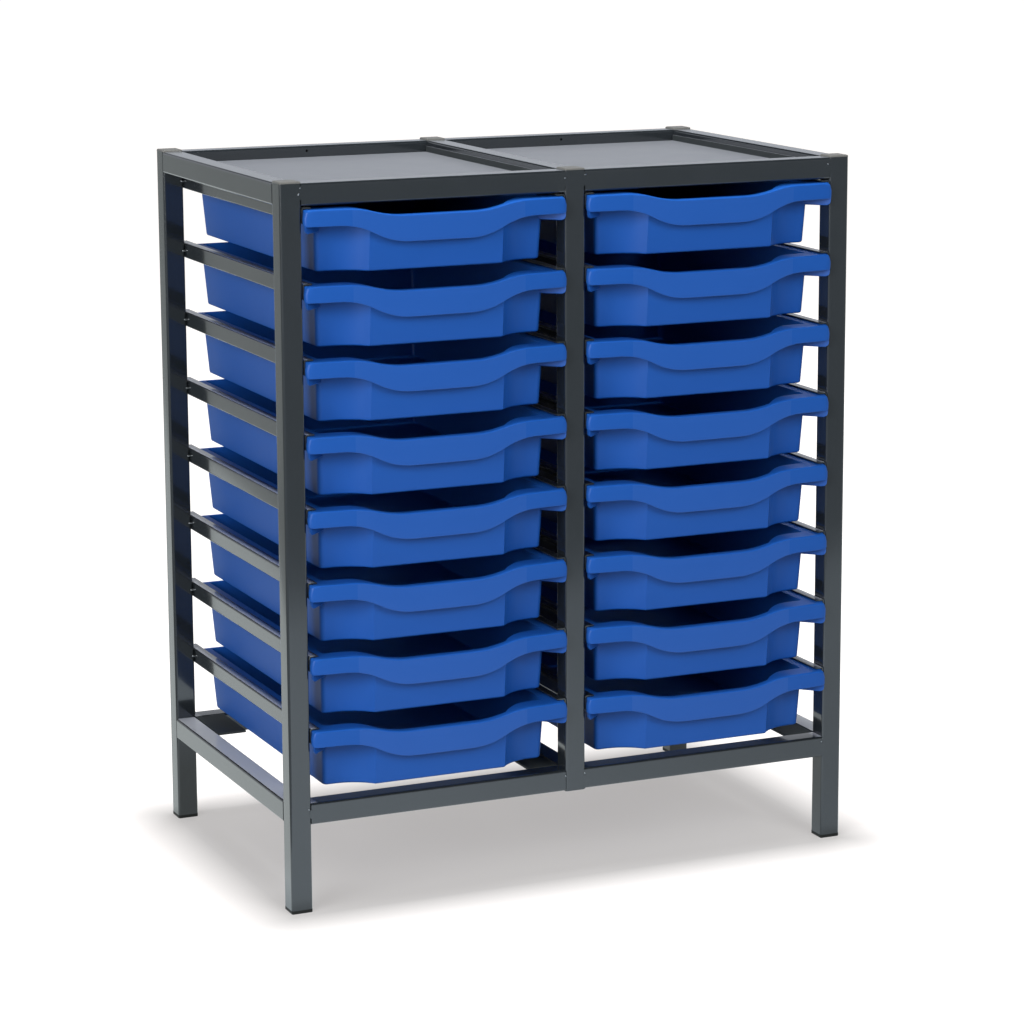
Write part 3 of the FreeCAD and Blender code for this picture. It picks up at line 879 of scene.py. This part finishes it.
@dataclass
class Tray:
    """One moulded tray: bowed front, drafted walls, rim with a downturned edge and a wavy lip.

    Drawn with x = 0 in the middle of its bay, y = 0 at the posts' front face and z = 0 at the top
    of the rim.
    """

    plastic: bpy.types.Material
    # copy of the blue with a painted sheen, for the front of the lip
    lip_painted_sheen_plastic: bpy.types.Material
    painted_sheen_front: float = -219.5 * MM  # faces further forward than this, when closed, get the copy of the blue with a painted sheen
    height: float = 71.5 * MM
    # body
    wall: float = 2.0 * MM
    body_half: float = 137.5 * MM  # half its width at the rim
    side_draft: float = 2.5 * MM  # how much each wall draws in from the rim to the floor
    front_draft: float = 7.0 * MM
    back_draft: float = 14.0 * MM
    front_radius: float = 6.0 * MM
    back_radius: float = 6.0 * MM
    corner_setback: float = 13.0 * MM  # front wall beside the corners
    bow_depth: float = 20.0 * MM  # how far the bow stands forward of it
    bow_flat_half: float = 80.0 * MM
    bow_run: float = 17.5 * MM
    bow_radius: float = 54.0 * MM
    back_wall: float = 408.5 * MM
    floor_fillet: float = 2.4 * MM
    # rim
    rim_half: float = 155.5 * MM
    rim_back: float = 411.5 * MM
    rim_radius: float = 12.0 * MM
    rim_depth: float = 14.0 * MM
    rim_sheet: float = 2.0 * MM
    # lip
    lip_half: float = 158.0 * MM
    lip_end_y: float = -8.0 * MM  # front of its ends
    lip_bulge: float = 7.5 * MM  # how far its middle stands forward of its ends
    lip_stop: float = -0.3 * MM  # where its closed ends stop in front of the posts
    lip_sheet: float = 2.5 * MM
    lip_end_block: float = 6.0 * MM  # thickness of the closed ends
    lip_end_depth: float = 18.5 * MM
    lip_end_tip: float = 12.5 * MM  # depth of the widest point of the slanted ends
    lip_end_slant: float = 3.5 * MM  # how far their top lies further in
    lip_end_tuck: float = 2.0 * MM  # how far their bottom does
    lip_end_blend: float = 14.0 * MM  # stretch beside the corner over which the slant begins
    lip_corner: float = 3.5 * MM
    lip_corner_share: float = 0.6  # share of the stations of the end that go round its corner
    crest: Dip = Dip(drop=9.5 * MM, outer=95 * MM, inner=58 * MM, radius=135 * MM)
    hem: Dip = Dip(drop=20.5 * MM, outer=97.5 * MM, inner=56 * MM, radius=85 * MM)
    # rounded edges
    edge: float = 1.6 * MM
    end_edge: float = 3.4 * MM  # at the top of the lip's ends
    small_edge: float = 0.7 * MM
    # web under each end of the lip
    web_sheet: float = 2.5 * MM
    web_drop: float = 8.1 * MM
    web_top: float = 16.3 * MM
    web_radius: float = 4.5 * MM
    web_radius_segments: int = 6
    web_edge: float = 1.6 * MM
    web_edge_segments: int = 3
    web_crease: float = 50.0  # degrees; lower edges that turn by more are rounded

    def stations(self) -> list[Station]:
        """Places along half the outline, closer together where it bends.

        Returns:
            The stations, from the middle of the front to the middle of the back.
        """
        steps = (
            (Stretch.FLAT, 26), (Stretch.BOW, 12), (Stretch.SHOULDER, 6), (Stretch.FRONT_CORNER, 8),
            (Stretch.SIDE, 10), (Stretch.BACK_CORNER, 8), (Stretch.BACK, 6),
        )
        places = []
        for stretch, count in steps:
            places += [Station(stretch, step / count) for step in range(count)]
        return places + [Station(Stretch.BACK, 1.0)]

    def lean(self, z: float) -> float:
        """Share of the way down the wall at a height z, from 0 at the rim to 1 at the floor."""
        return -z / self.height

    def body_point(self, station: Station, z: float, inset: float) -> Vector:
        """Point on the tray's wall.

        Args:
            station: place on the outline.
            z: height.
            inset: distance inside the wall's outer face.

        Returns:
            The point, with x from 0 upwards.
        """
        lean = self.lean(z)
        half = self.body_half - self.side_draft * lean
        corner_y = self.corner_setback + self.front_draft * lean
        back_y = self.back_wall - self.back_draft * lean
        slope = math.atan2(self.bow_depth, self.bow_run)
        arc_x = self.bow_flat_half + self.bow_run + self.bow_radius * math.tan(slope / 2)
        reach = self.bow_radius + inset
        kink = self.bow_flat_half - inset * math.tan(slope / 2)
        front_arc = half - self.front_radius
        back_arc = half - self.back_radius
        along = station.along
        if station.stretch is Stretch.FLAT:
            return Vector((kink * along, corner_y - self.bow_depth + inset, z))
        if station.stretch is Stretch.BOW:
            start = Vector((kink, corner_y - self.bow_depth + inset, z))
            turn = slope * (1 - along)
            curve = Vector((arc_x - reach * math.sin(turn),
                            corner_y - self.bow_radius + reach * math.cos(turn), z))
            return start if along == 0 else curve
        if station.stretch is Stretch.SHOULDER:
            return Vector((arc_x + (front_arc - arc_x) * along, corner_y + inset, z))
        if station.stretch is Stretch.FRONT_CORNER:
            turn = math.pi / 2 * along
            radius = self.front_radius - inset
            return Vector((front_arc + radius * math.sin(turn),
                           corner_y + self.front_radius - radius * math.cos(turn), z))
        low_y = corner_y + self.front_radius
        high_y = back_y - self.back_radius
        if station.stretch is Stretch.SIDE:
            return Vector((half - inset, low_y + (high_y - low_y) * along, z))
        if station.stretch is Stretch.BACK_CORNER:
            turn = math.pi / 2 * along
            radius = self.back_radius - inset
            return Vector((back_arc + radius * math.cos(turn), high_y + radius * math.sin(turn), z))
        return Vector((back_arc * (1 - along), back_y - inset, z))

    def lip_y(self, x: float) -> float:
        """Front of the lip at a distance x from the middle."""
        radius = (self.lip_half ** 2 + self.lip_bulge ** 2) / (2 * self.lip_bulge)
        return self.lip_end_y - self.lip_bulge + radius - math.sqrt(radius ** 2 - x ** 2)

    def end_tuck(self, z: float) -> float:
        """Works out how far the slanted end of the lip lies inside its widest point.

        Args:
            z: height.

        Returns:
            The distance.
        """
        depth = -z
        if depth < self.lip_end_tip:
            return self.lip_end_slant * (1 - depth / self.lip_end_tip)
        return self.lip_end_tuck * (depth - self.lip_end_tip) / (self.lip_end_depth - self.lip_end_tip)

    def edge_point(self, station: Station, z: float, inset: float, inside: bool = False) -> Vector:
        """Point on the lip or the rim's downturned edge.

        Args:
            station: place on the outline.
            z: height.
            inset: distance behind the outer face.
            inside: whether the point lies on the inner face, which stands further in at the closed ends.

        Returns:
            The point, with x from 0 upwards.
        """
        along = station.along
        corner = self.lip_corner
        straight = self.lip_half - corner
        if station.stretch in (Stretch.FLAT, Stretch.BOW, Stretch.SHOULDER):
            body_x = self.body_point(station, 0.0, 0.0).x
            front_arc = self.body_half - self.front_radius
            blend = max(0.0, (body_x - self.bow_flat_half) / (front_arc - self.bow_flat_half))
            x = body_x + (straight - front_arc) * blend ** 2
            y = self.lip_y(x) + inset
            share = max(0.0, (x - straight + self.lip_end_blend) / (corner + self.lip_end_blend))
            return Vector((x - self.end_tuck(z) * share, y, z))
        if station.stretch is Stretch.FRONT_CORNER:
            return self.lip_end_point(along, z, inset, inside)
        half = self.rim_half - inset
        front_y = self.lip_stop
        arc_y = self.rim_back - self.rim_radius
        if station.stretch is Stretch.SIDE:
            return Vector((half, front_y + (arc_y - front_y) * along, z))
        radius = self.rim_radius - inset
        arc_x = self.rim_half - self.rim_radius
        if station.stretch is Stretch.BACK_CORNER:
            turn = math.pi / 2 * along
            return Vector((arc_x + radius * math.cos(turn), arc_y + radius * math.sin(turn), z))
        return Vector((arc_x * (1 - along), self.rim_back - inset, z))

    def lip_end_point(self, along: float, z: float, inset: float, inside: bool) -> Vector:
        """Point around the closed end of the lip, from its front face to the post.

        Args:
            along: 0 at the front face, 1 at the post.
            z: height.
            inset: distance behind the outer face.
            inside: whether the point lies on the inner face.

        Returns:
            The point.
        """
        corner = self.lip_corner
        half = self.lip_half - self.end_tuck(z)
        thick = inset * self.lip_end_block / self.lip_sheet if inside else inset
        centre_y = self.lip_y(self.lip_half) + corner
        if along < self.lip_corner_share:
            turn = math.pi / 2 * along / self.lip_corner_share
            radius_x = max(corner - thick, 0.0)
            radius_y = max(corner - inset, 0.0)
            centre_x = half - max(corner, thick)
            return Vector((centre_x + radius_x * math.sin(turn), centre_y - radius_y * math.cos(turn), z))
        share = (along - self.lip_corner_share) / (1 - self.lip_corner_share)
        return Vector((half - thick, centre_y + (self.lip_stop - centre_y) * share, z))

    def levels(self, station: Station) -> tuple[float, float]:
        """Works out the heights of the lip's or the rim's edges at a station.

        Args:
            station: place on the outline.

        Returns:
            Heights of the top edge and of the bottom edge.
        """
        if station.stretch in (Stretch.FLAT, Stretch.BOW, Stretch.SHOULDER):
            x = self.edge_point(station, 0.0, 0.0).x
            return -self.crest.depth(x), -self.lip_end_depth - self.hem.depth(x)
        if station.stretch is Stretch.FRONT_CORNER:
            return 0.0, -self.lip_end_depth
        return 0.0, -self.rim_depth

    def top_edge(self, station: Station) -> float:
        """Works out the radius of the rounded top edge at a station, larger round the ends of the lip.

        Args:
            station: place on the outline.

        Returns:
            The radius.
        """
        if station.stretch is Stretch.SHOULDER:
            return self.edge + (self.end_edge - self.edge) * station.along ** 3
        return self.end_edge if station.stretch is Stretch.FRONT_CORNER else self.edge

    def section(self, station: Station) -> list[Vector]:
        """Works out the tray's section at a station.

        Args:
            station: place on the outline.

        Returns:
            Its points, from the inner floor round the rim to the outer floor.
        """
        top, low = self.levels(station)
        floor = self.wall - self.height
        fillet, edge, small = self.floor_fillet, self.top_edge(station), self.small_edge
        lip = station.stretch in (Stretch.FLAT, Stretch.BOW, Stretch.SHOULDER, Stretch.FRONT_CORNER)
        sheet = self.lip_sheet if lip else self.rim_sheet
        tip = top + (low - top) * self.lip_end_tip / self.lip_end_depth
        under = top - self.rim_sheet
        cut = 1 - math.sqrt(0.5)
        return [
            self.body_point(station, floor, self.wall + fillet),
            self.body_point(station, floor + fillet * cut, self.wall + fillet * cut),
            self.body_point(station, floor + fillet, self.wall),
            self.body_point(station, top - small, self.wall),
            self.body_point(station, top - small * cut, self.wall - small * cut),
            self.body_point(station, top, self.wall - small),
            self.edge_point(station, top, edge),
            self.edge_point(station, top - edge * ROUND_EARLY, edge * ROUND_LATE),
            self.edge_point(station, top - edge * ROUND_MIDDLE, edge * ROUND_MIDDLE),
            self.edge_point(station, top - edge * ROUND_LATE, edge * ROUND_EARLY),
            self.edge_point(station, top - edge, 0.0),
            self.edge_point(station, tip + edge, 0.0),
            self.edge_point(station, tip - edge, 0.0),
            self.edge_point(station, low + small, 0.0),
            self.edge_point(station, low + small * cut, small * cut),
            self.edge_point(station, low, small),
            self.edge_point(station, low, sheet - small, True),
            self.edge_point(station, low + small * cut, sheet - small * cut, True),
            self.edge_point(station, low + small, sheet, True),
            self.edge_point(station, under - small, sheet, True),
            self.edge_point(station, under, sheet + small, True),
            self.body_point(station, under, -small),
            self.body_point(station, under - small, 0.0),
            self.body_point(station, fillet - self.height, 0.0),
            self.body_point(station, fillet * cut - self.height, fillet * cut),
            self.body_point(station, -self.height, fillet),
        ]

    def shell(self) -> bmesh.types.BMesh:
        """Builds the moulded shell from closed rings bridged one to the next.

        Returns:
            New bmesh of the closed shell.
        """
        half = [self.section(station) for station in self.stations()]
        mirrored = [[Vector((-p.x, p.y, p.z)) for p in points] for points in half[-2:0:-1]]
        sections = half + mirrored
        mesh = bmesh.new()
        rings = []
        for row in range(len(sections[0])):
            made = bmesh.ops.create_circle(mesh, segments=len(sections), radius=1.0)["verts"]
            for vert, points in zip(made, sections):
                vert.co = points[row]
            rings.append(list(dict.fromkeys(edge for vert in made for edge in vert.link_edges)))
        for lower, upper in zip(rings, rings[1:]):
            bmesh.ops.bridge_loops(mesh, edges=lower + upper)
        for ring in (rings[0], rings[-1]):
            bmesh.ops.edgeloop_fill(mesh, edges=ring)
        return mesh

    def web(self, side: int) -> bmesh.types.BMesh:
        """Builds the web under one end of the lip, wide at the lip and thin at the body's corner.

        Args:
            side: 1 for the right end, -1 for the left.

        Returns:
            New bmesh of the web.
        """
        outer = self.lip_half - self.lip_end_tuck - self.small_edge
        front = self.lip_end_y + self.small_edge
        inner = Vector((self.body_half - self.front_radius, self.corner_setback + self.front_radius / 2, 0))
        plan = [Vector((outer, front, 0)), Vector((outer, self.lip_stop, 0)),
                inner + Vector((0, self.web_sheet, 0)), inner]
        low = -self.lip_end_depth - self.web_drop
        mesh = bmesh.new()
        face = mesh.faces.new([mesh.verts.new((p.x, p.y, low)) for p in plan])
        grown = bmesh.ops.extrude_face_region(mesh, geom=[face])
        bmesh.ops.translate(mesh, vec=Axis.Z.vector(-self.web_top - low), verts=moved_verts(grown))
        corner = [edge for edge in mesh.edges if all(
            vert.co.x > outer - NEAR and vert.co.z < low + NEAR for vert in edge.verts)]
        soften(mesh, corner, self.web_radius, self.web_radius_segments)
        lower = [edge for edge in mesh.edges if edge.calc_face_angle(0) > math.radians(self.web_crease)
                 and all(vert.co.z < -self.lip_end_depth for vert in edge.verts)]
        soften(mesh, lower, self.web_edge, self.web_edge_segments)
        bmesh.ops.scale(mesh, vec=(side, 1, 1), verts=mesh.verts)
        return mesh

    def build(self) -> None:
        """Replaces all trays by copies of one shell."""
        pattern = join([self.shell(), self.web(1), self.web(-1)])
        for side in COLUMNS:
            for row in range(1, TRAYS_PER_COLUMN + 1):
                node = "tray_%s_%d" % (side, row)
                low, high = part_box(node)
                place = Vector(((low.x + high.x) / 2, high.y - self.rim_back, high.z))
                copy = pattern.copy()
                bmesh.ops.translate(copy, vec=place, verts=copy.verts)
                piece = finish_piece(copy, node + "_moulding", node, (node,), self.plastic)
                piece.data.materials.append(self.lip_painted_sheen_plastic)
                # faces at the front of the lip get the copy of the blue with a painted sheen
                for face in piece.data.polygons:
                    face.material_index = int(face.center.y < self.painted_sheen_front)
        pattern.free()


# ---- studio ----------------------------------------------------------------------------------

@dataclass(frozen=True)
class Lamp:
    """One soft, round area lamp."""

    name: str
    place: tuple[float, float, float]
    target: tuple[float, float, float]
    size: float
    power: float
    mirrored: bool  # whether shiny faces show it


@dataclass
class Studio:
    """Pale floor, soft light and the camera."""

    floor_size: float = 60.0
    floor_tone: float = 0.36  # as it lights the unit
    seen_floor: float = 0.20  # as the camera sees it under the lamps
    glow_with_painted_shadow: Change = Change(0.0, 0.08, 0.43, 1.05)  # glow that the camera sees on it: weak near the unit as a painted shadow, full away from it
    shade_tint: str = "#FFFBF9"
    footprint: tuple[float, float] = (0.3525, 0.215)
    # the floor as shiny faces mirror it: a bright sheet with two straight edges, and dimmer floor beyond
    sheet_front: Change = Change(-1.80, -1.46)
    sheet_left: Change = Change(-0.645, -0.615)
    sheet_slant: float = 0.20  # how the left edge shifts with the distance back
    behind: Change = Change(-0.3, 0.0)  # from the front half of the floor to the back one
    bright: Change = Change(first=1.26, last=0.81)  # on the sheet, from front to back
    dim_front: float = 0.44  # beyond it, in front
    dim_back: Change = Change(1.95, 2.6, 0.27, 0.35)  # beyond it, behind
    rightward: Change = Change(-0.1, 0.5, 1.0, 0.70)
    under: Change = Change(0.0, 0.04, 0.62, 1.0)  # painted shadow under the unit, from under it to clear of it
    front_tint: str = "#E7F5FF"
    back_tint: str = "#F6FFFF"
    # the world
    cool_white: str = "#F1F6FF"
    world_light: float = 0.06
    horizon: Change = Change(0.24, 0.36, 0.50, 0.0)  # what shiny faces mirror of it, by height
    # the camera
    image_width: int = 1024
    focal_pixels: float = 3273.6
    centre_x: float = 540.0
    centre_y: float = 460.0
    sensor: float = 36.0
    camera_place: tuple[float, float, float] = (-1.5538, -3.5348, 1.1976)
    azimuth: float = -24.400
    elevation: float = 10.854
    roll: float = -0.171
    lamps: tuple[Lamp, ...] = (
        Lamp("overhead_softbox", (0.0, 0.0, 3.0), (0.0, 0.0, 0.0), size=1.6, power=94.0, mirrored=False),
        Lamp("back_softbox", (2.4, 2.9, 2.0), (0.0, 0.0, 0.4), size=2.4, power=70.0, mirrored=False),
        Lamp("front_softbox", (0.9, -3.5, 2.3), (0.0, 0.0, 0.4), size=2.0, power=79.0, mirrored=False),
        Lamp("left_softbox", (-3.0, -1.95, 1.6), (0.0, 0.0, 0.4), size=2.4, power=110.0, mirrored=True),
    )

    def margin(self, tree: bpy.types.NodeTree, place: bpy.types.NodeSocket) -> bpy.types.NodeSocket:
        """Adds the nodes that measure how far a place on the floor lies outside the unit's footprint.

        Args:
            tree: node tree.
            place: place on the floor.

        Returns:
            Output socket of the distance, 0 under the unit.
        """
        folded = add_node(tree, "ShaderNodeVectorMath", {"operation": "ABSOLUTE"}, {0: place})
        past = add_node(tree, "ShaderNodeVectorMath", {"operation": "SUBTRACT", 1: (*self.footprint, 0.0)},
                        {0: folded.outputs["Vector"]})
        outside = add_node(tree, "ShaderNodeVectorMath", {"operation": "MAXIMUM", 1: (0.0, 0.0, 0.0)},
                           {0: past.outputs["Vector"]})
        return add_node(tree, "ShaderNodeVectorMath", {"operation": "LENGTH"},
                        {0: outside.outputs["Vector"]}).outputs["Value"]

    def mirrored_floor(self, tree: bpy.types.NodeTree, place: bpy.types.NodeSocket,
                       margin: bpy.types.NodeSocket) -> bpy.types.Node:
        """Builds the floor as shiny faces mirror it: a bright sheet round the unit with a straight front edge
        and a slanted left edge, and dimmer floor beyond.

        Args:
            tree: node tree.
            place: place on the floor.
            margin: distance outside the footprint.

        Returns:
            Emission node.
        """
        axes = add_node(tree, "ShaderNodeSeparateXYZ", links={0: place}).outputs
        slanted = add_node(tree, "ShaderNodeMath", {"operation": "MULTIPLY_ADD", 1: self.sheet_slant},
                           {0: axes["Y"], 2: axes["X"]})
        front = add_node(tree, "ShaderNodeMapRange", self.sheet_front.settings(), {"Value": axes["Y"]})
        left = add_node(tree, "ShaderNodeMapRange", self.sheet_left.settings(), {"Value": slanted.outputs[0]})
        sheet = add_node(tree, "ShaderNodeMath", {"operation": "MINIMUM"}, {
            0: front.outputs[0], 1: left.outputs[0]})
        behind = add_node(tree, "ShaderNodeMapRange", self.behind.settings(), {"Value": axes["Y"]})
        dim_back = add_node(tree, "ShaderNodeMapRange", self.dim_back.settings(), {"Value": axes["Y"]})
        dim = add_node(tree, "ShaderNodeMix", {2: self.dim_front}, {
            0: behind.outputs[0], 3: dim_back.outputs[0]})
        bright = add_node(tree, "ShaderNodeMapRange", self.bright.settings(), {"Value": behind.outputs[0]})
        level = add_node(tree, "ShaderNodeMix", links={
            0: sheet.outputs[0], 2: dim.outputs[0], 3: bright.outputs[0]})
        rightward = add_node(tree, "ShaderNodeMapRange", self.rightward.settings(), {"Value": axes["X"]})
        aside = add_node(tree, "ShaderNodeMath", {"operation": "MULTIPLY"}, {
            0: level.outputs[0], 1: rightward.outputs[0]})
        # painted shadow: the mirrored floor is dimmer under the unit
        under = add_node(tree, "ShaderNodeMapRange", self.under.settings(), {"Value": margin})
        shade = add_node(tree, "ShaderNodeMath", {"operation": "MULTIPLY"}, {
            0: aside.outputs[0], 1: under.outputs[0]})
        tint = add_node(tree, "ShaderNodeMix", {
            "data_type": "RGBA", 6: linear(self.front_tint), 7: linear(self.back_tint)},
            {0: behind.outputs[0]})
        return add_node(tree, "ShaderNodeEmission", links={
            "Color": tint.outputs[2], "Strength": shade.outputs[0]})

    def floor(self) -> None:
        """Adds the floor: pale paper that the camera sees blown out to white away from the shadow, which is
        partly real and partly painted by a camera-only glow that is weaker near the unit.
        """
        mesh = bmesh.new()
        bmesh.ops.create_grid(mesh, x_segments=1, y_segments=1, size=self.floor_size / 2)
        data = bpy.data.meshes.new("studio_floor")
        mesh.to_mesh(data)
        mesh.free()
        floor = bpy.data.objects.new("studio_floor", data)
        bpy.context.scene.collection.objects.link(floor)
        material, tree, output = new_material("studio_floor_paper")
        material.cycles.emission_sampling = "NONE"
        place = add_node(tree, "ShaderNodeTexCoord").outputs["Object"]
        margin = self.margin(tree, place)
        path = add_node(tree, "ShaderNodeLightPath").outputs
        # the camera-only glow is weaker near the footprint: a painted shadow beside the real one
        glow_with_painted_shadow = add_node(tree, "ShaderNodeMapRange", self.glow_with_painted_shadow.settings(), {"Value": margin})
        strength = add_node(tree, "ShaderNodeMath", {"operation": "MULTIPLY"}, {
            0: glow_with_painted_shadow.outputs[0], 1: path["Is Camera Ray"]})
        glow = add_node(tree, "ShaderNodeEmission", {"Color": linear(self.shade_tint)}, {
            "Strength": strength.outputs[0]})
        tones = Change(first=self.floor_tone, last=self.seen_floor)
        tone = add_node(tree, "ShaderNodeMapRange", tones.settings(), {"Value": path["Is Camera Ray"]})
        paper = add_node(tree, "ShaderNodeBsdfDiffuse", links={"Color": tone.outputs[0]})
        seen = add_node(tree, "ShaderNodeAddShader", links={0: glow.outputs[0], 1: paper.outputs[0]})
        mirrored = self.mirrored_floor(tree, place, margin)
        both = add_node(tree, "ShaderNodeMixShader", links={
            0: path["Is Glossy Ray"], 1: seen.outputs[0], 2: mirrored.outputs[0]})
        tree.links.new(both.outputs[0], output.inputs["Surface"])
        data.materials.append(material)

    def world(self) -> None:
        """Adds a white backdrop that lights the unit little and that shiny faces mirror near the horizon."""
        world = bpy.data.worlds.new("studio_world")
        bpy.context.scene.world = world
        world.use_nodes = True
        tree = world.node_tree
        tree.nodes.clear()
        output = add_node(tree, "ShaderNodeOutputWorld")
        path = add_node(tree, "ShaderNodeLightPath").outputs
        gaze = add_node(tree, "ShaderNodeTexCoord").outputs["Generated"]
        upward = add_node(tree, "ShaderNodeSeparateXYZ", links={0: gaze}).outputs["Z"]
        horizon = add_node(tree, "ShaderNodeMapRange", self.horizon.settings(), {"Value": upward})
        level = add_node(tree, "ShaderNodeMix", {2: self.world_light}, {
            0: path["Is Glossy Ray"], 3: horizon.outputs[0]})
        tinted = add_node(tree, "ShaderNodeVectorMath", {
            "operation": "SCALE", 0: linear(self.cool_white)[:3]}, {"Scale": level.outputs[0]})
        tone = add_node(tree, "ShaderNodeMix", {"data_type": "RGBA", 7: (1.0, 1.0, 1.0, 1.0)}, {
            0: path["Is Camera Ray"], 6: tinted.outputs[0]})
        back = add_node(tree, "ShaderNodeBackground", {"Strength": 1.0}, {"Color": tone.outputs[2]})
        tree.links.new(back.outputs[0], output.inputs["Surface"])

    def light(self) -> None:
        """Adds the lamps."""
        for lamp in self.lamps:
            data = bpy.data.lights.new(lamp.name, "AREA")
            data.shape = "DISK"
            data.size = lamp.size
            data.energy = lamp.power
            thing = bpy.data.objects.new(lamp.name, data)
            thing.location = lamp.place
            aim = Vector(lamp.target) - Vector(lamp.place)
            thing.rotation_euler = aim.to_track_quat("-Z", "Y").to_euler()
            thing.visible_glossy = lamp.mirrored
            bpy.context.scene.collection.objects.link(thing)
            LOG.info("%s", lamp.name)

    def camera(self) -> None:
        """Adds the camera: its place, the way it looks and where its axis meets the image."""
        data = bpy.data.cameras.new("camera")
        data.sensor_width = self.sensor
        data.lens = self.focal_pixels / self.image_width * self.sensor
        data.shift_x = 0.5 - self.centre_x / self.image_width
        data.shift_y = self.centre_y / self.image_width - 0.5
        azimuth, elevation, roll = (math.radians(a) for a in (self.azimuth, self.elevation, self.roll))
        back = Vector((math.sin(azimuth) * math.cos(elevation), -math.cos(azimuth) * math.cos(elevation),
                       math.sin(elevation)))
        level = Vector((math.cos(azimuth), math.sin(azimuth), 0.0))
        upright = back.cross(level)
        right = level * math.cos(roll) + upright * math.sin(roll)
        up = upright * math.cos(roll) - level * math.sin(roll)
        turn = Matrix((right, up, back)).transposed().to_4x4()
        camera = bpy.data.objects.new("camera", data)
        camera.matrix_world = Matrix.Translation(self.camera_place) @ turn
        bpy.context.scene.collection.objects.link(camera)
        bpy.context.scene.camera = camera

    def build(self) -> None:
        """Sets up the studio."""
        self.floor()
        self.world()
        self.light()
        self.camera()
        bpy.context.scene.view_settings.view_transform = "Standard"


def main() -> None:
    """Dresses the whole unit and sets up the studio."""
    logging.basicConfig(level=logging.INFO, format="%(message)s")
    # graphite polyester coat: a dark, smooth film that mirrors its surroundings softly; on its open upward
    # faces a lighter tone of dust and painted sheen takes the film's place
    coat = PowderCoat("graphite_powder_coat", "#1E2326", "#25292D").build()
    # light grey of the panels' open tops: an even, satin grey with hardly a reflection, a painted sheen that
    # stands for the bright room mirrored in the flat tops
    panel_top_painted_sheen = PowderCoat("light_grey_painted_sheen_coat", "#676A70", "#6D7076", roughness=0.45, film=0.0,
                            dust_and_sheen="#6D7076").build()
    # graphite coat of the corner plates and the panels' folds: rough enough to look flat and nearly black
    matt_coat = PowderCoat("matt_graphite_powder_coat", "#2A2F31", "#303537", roughness=0.7, film=0.0,
                           dust_and_sheen="#2D3234", low_painted_sheen="#2D3234").build()
    # bare weld metal: small, bright and uneven glints
    weld_metal = WeldMetal("bright_weld_metal", "#9A9DA0").build()
    # moulded polyethylene: a warm, waxy grey with a broad, soft highlight
    cap_plastic = MouldedPlastic("grey_polyethylene_cap", "#5B5B59", "#646462", roughness=0.35,
                                 reflectance=0.42).build()
    # moulded nylon: black and dull
    foot_plastic = MouldedPlastic("black_nylon_foot", "#1B1C1B", "#242523", roughness=0.5).build()
    # moulded polypropylene: a deep, saturated blue with a satin skin that hardly mirrors
    tray_plastic = MouldedPlastic("blue_polypropylene", "#164FA0", "#1A52A4", reflectance=0.30).build()
    # the same blue with a stronger reflection: a painted sheen that makes the middle of the lip paler than
    # the body
    lip_painted_sheen_plastic = MouldedPlastic("blue_polypropylene_painted_sheen", "#164FA0", "#1A52A4", reflectance=0.50).build()
    TubeFrame(coat, panel_top_painted_sheen, matt_coat).build()
    Runners(coat).build()
    Welds(coat, weld_metal).build()
    Plugs(cap_plastic, foot_plastic).build()
    Tray(tray_plastic, lip_painted_sheen_plastic).build()
    Studio().build()


if __name__ == "__main__":
    main()
